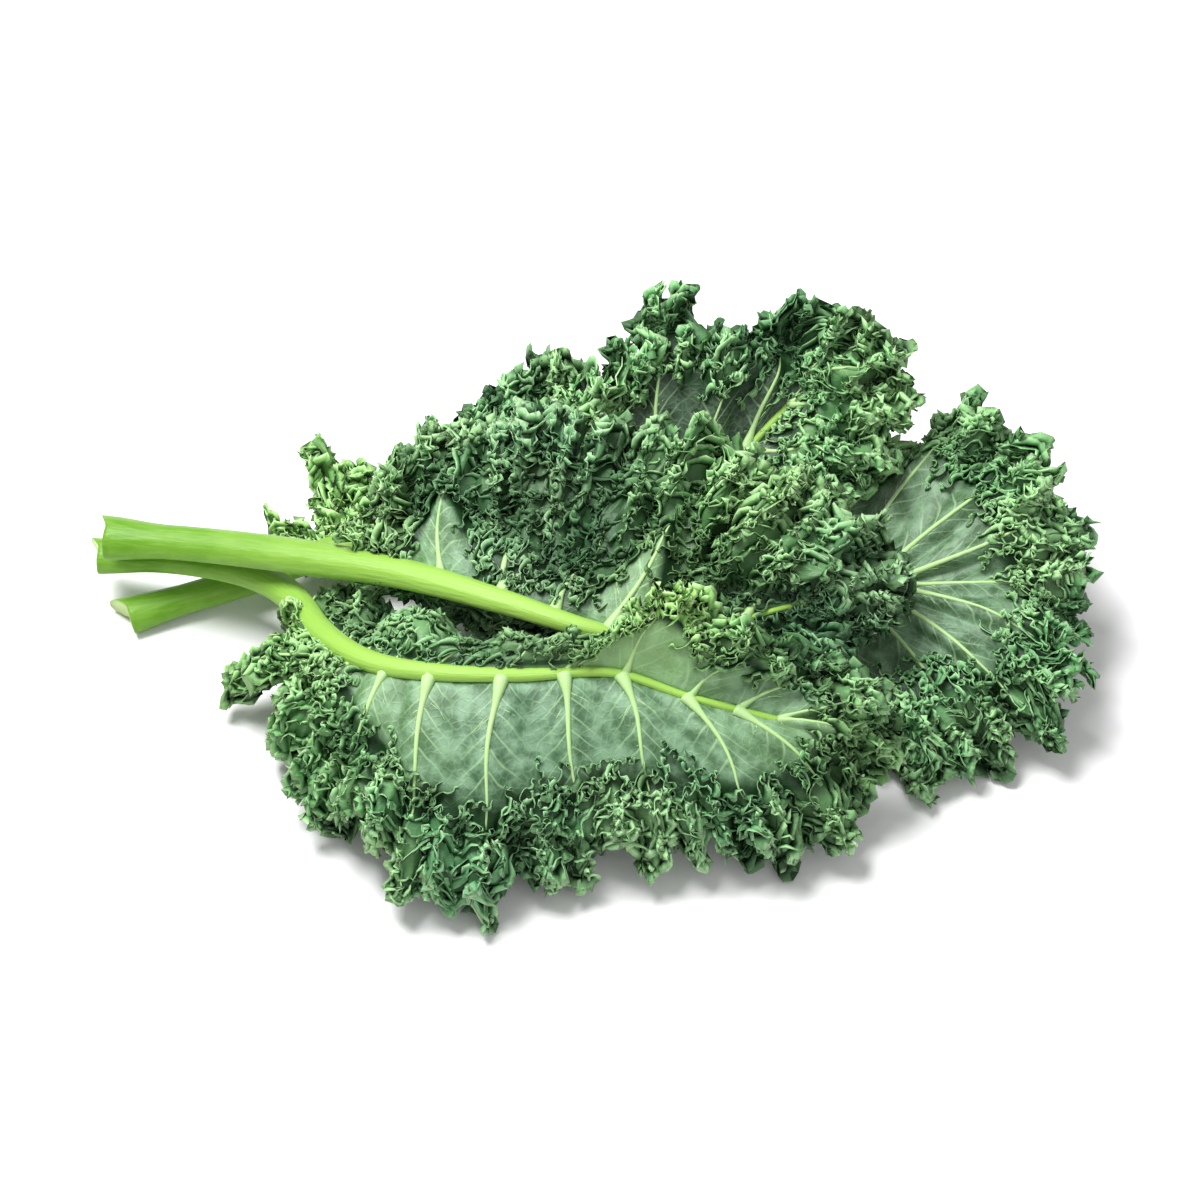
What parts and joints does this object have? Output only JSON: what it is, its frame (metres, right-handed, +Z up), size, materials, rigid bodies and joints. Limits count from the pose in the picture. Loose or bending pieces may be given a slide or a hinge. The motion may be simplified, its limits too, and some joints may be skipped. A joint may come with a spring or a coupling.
{
  "type": "curly kale bunch",
  "caption": "Loose bunch of curly kale leaves lying flat in a fan, pale smooth stalks crossing near the cut ends, dark blades with tightly ruffled margins.",
  "frame": {"origin": "centre of the bunch's footprint on the surface it lies on, at z = 0", "axes": "+X from the cut stalk ends towards the leaf tips, +Y towards the leaves at the back, +Z up from the surface"},
  "size_m": [0.3854, 0.2422, 0.1011],
  "materials": {
    "stalk": "smooth, faintly waxy pale green stalk, midrib and side veins",
    "blade": "waxy grey-green leaf, darker and glossier in the curls, yellow-green at the frilled edge"
  },
  "bodies": {
    "root": {"stalk_upper": "stalk", "blade_upper": "blade", "stalk_front": "stalk", "blade_front": "blade", "stalk_back": "stalk", "blade_back": "blade", "stalk_right": "stalk", "blade_right": "blade"}
  },
  "joints": []
}
